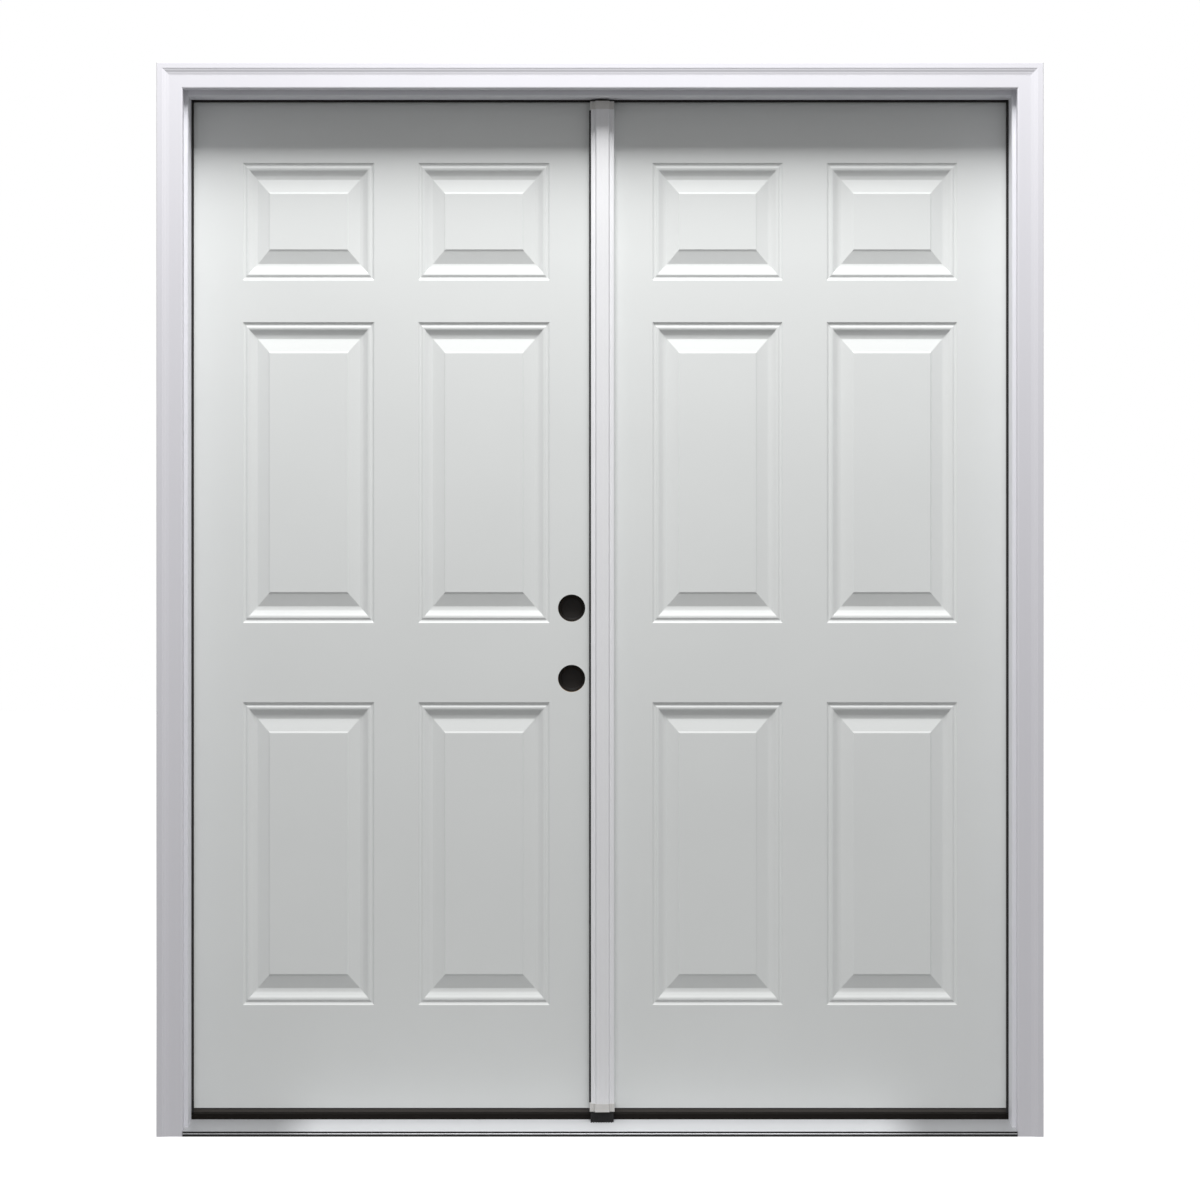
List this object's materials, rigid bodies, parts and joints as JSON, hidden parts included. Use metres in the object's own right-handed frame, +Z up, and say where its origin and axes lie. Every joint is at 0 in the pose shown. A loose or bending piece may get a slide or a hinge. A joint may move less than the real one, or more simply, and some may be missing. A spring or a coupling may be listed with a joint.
{
  "type": "prehung exterior double door",
  "caption": "White inswing prehung exterior double door with embossed panels, brick-mould casing, aluminium sill, T-astragal and bored lock edge.",
  "frame": {"origin": "middle of the sill's underside, in the plane of the jambs' outdoor edges", "axes": "+X to the right seen from outdoors, +Y indoors, +Z up"},
  "size_m": [1.7376, 0.1598, 2.1017],
  "materials": {
    "painted_jamb": "satin",
    "painted_casing": "satin",
    "zinc_steel": "satin",
    "composite": "matte",
    "mill_aluminium": "satin",
    "dark_foam": "matte",
    "bronze_cap": "satin",
    "dark_seal": "matte",
    "hinge_steel": "satin",
    "painted_skin": "satin",
    "foam_core": "matte",
    "pine": "matte",
    "bronze_sweep": "satin",
    "painted_aluminium": "satin",
    "grey_cap": "satin"
  },
  "bodies": {
    "frame": {"active_hinge_pins": "hinge_steel", "left_jamb": "painted_jamb", "right_jamb": "painted_jamb", "head_jamb": "painted_jamb", "left_brickmould": "painted_casing", "right_brickmould": "painted_casing", "head_brickmould": "painted_casing", "frame_screws": "zinc_steel", "sill_base": "composite", "sill_deck": "mill_aluminium", "sill_pad": "dark_foam", "left_weatherstrip": "dark_seal", "right_weatherstrip": "dark_seal", "head_weatherstrip": "dark_seal", "corner_pads": "dark_foam", "head_bolt_strike": "zinc_steel", "active_frame_hinges": "hinge_steel", "passive_frame_hinges": "hinge_steel", "active_frame_hinge_screws": "zinc_steel", "passive_frame_hinge_screws": "zinc_steel", "passive_hinge_pins": "hinge_steel"},
    "sill_cap": {"sill_cap": "bronze_cap", "sill_cap_screws": "zinc_steel"},
    "active_leaf": {"active_exterior_skin": "painted_skin", "active_interior_skin": "painted_skin", "active_core": "foam_core", "active_hinge_stile": "pine", "active_lock_stile": "pine", "active_top_rail": "pine", "active_bottom_rail": "pine", "active_sweep": "bronze_sweep", "active_leaf_hinges": "hinge_steel", "active_leaf_hinge_screws": "zinc_steel", "active_lock_block": "pine"},
    "passive_leaf": {"passive_exterior_skin": "painted_skin", "passive_interior_skin": "painted_skin", "passive_core": "foam_core", "passive_hinge_stile": "pine", "passive_lock_stile": "pine", "passive_top_rail": "pine", "passive_bottom_rail": "pine", "passive_sweep": "bronze_sweep", "passive_leaf_hinges": "hinge_steel", "passive_leaf_hinge_screws": "zinc_steel", "astragal": "painted_aluminium", "astragal_lip": "painted_aluminium", "astragal_seal": "dark_seal", "astragal_top_cap": "grey_cap", "astragal_bottom_cap": "grey_cap", "astragal_screws": "zinc_steel", "bolt_guides": "grey_cap", "strike_plates": "zinc_steel", "strike_screws": "zinc_steel"},
    "top_bolt": {"top_bolt": "zinc_steel"},
    "bottom_bolt": {"bottom_bolt": "zinc_steel"}
  },
  "joints": [
    {"name": "passive_swing", "type": "hinge", "parent": "frame", "child": "passive_leaf", "pos_m": [0.8195, 0.122, 0], "axis": [0, 0, -1], "range_deg": [0, 90]},
    {"name": "active_swing", "type": "hinge", "parent": "frame", "child": "active_leaf", "pos_m": [-0.8195, 0.122, 0], "axis": [0, 0, 1], "range_deg": [0, 90]},
    {"name": "top_bolt_slide", "type": "slide", "parent": "passive_leaf", "child": "top_bolt", "axis": [0, 0, 1], "range_m": [0, 0.014]},
    {"name": "bottom_bolt_slide", "type": "slide", "parent": "passive_leaf", "child": "bottom_bolt", "axis": [0, 0, -1], "range_m": [0, 0.012]},
    {"name": "sill_cap_adjust", "type": "slide", "parent": "frame", "child": "sill_cap", "axis": [0, 0, -1], "range_m": [0, 0.004]}
  ],
  "couplings": [
    {"joint": "passive_swing", "follows": "active_swing", "ratio": 1}
  ]
}
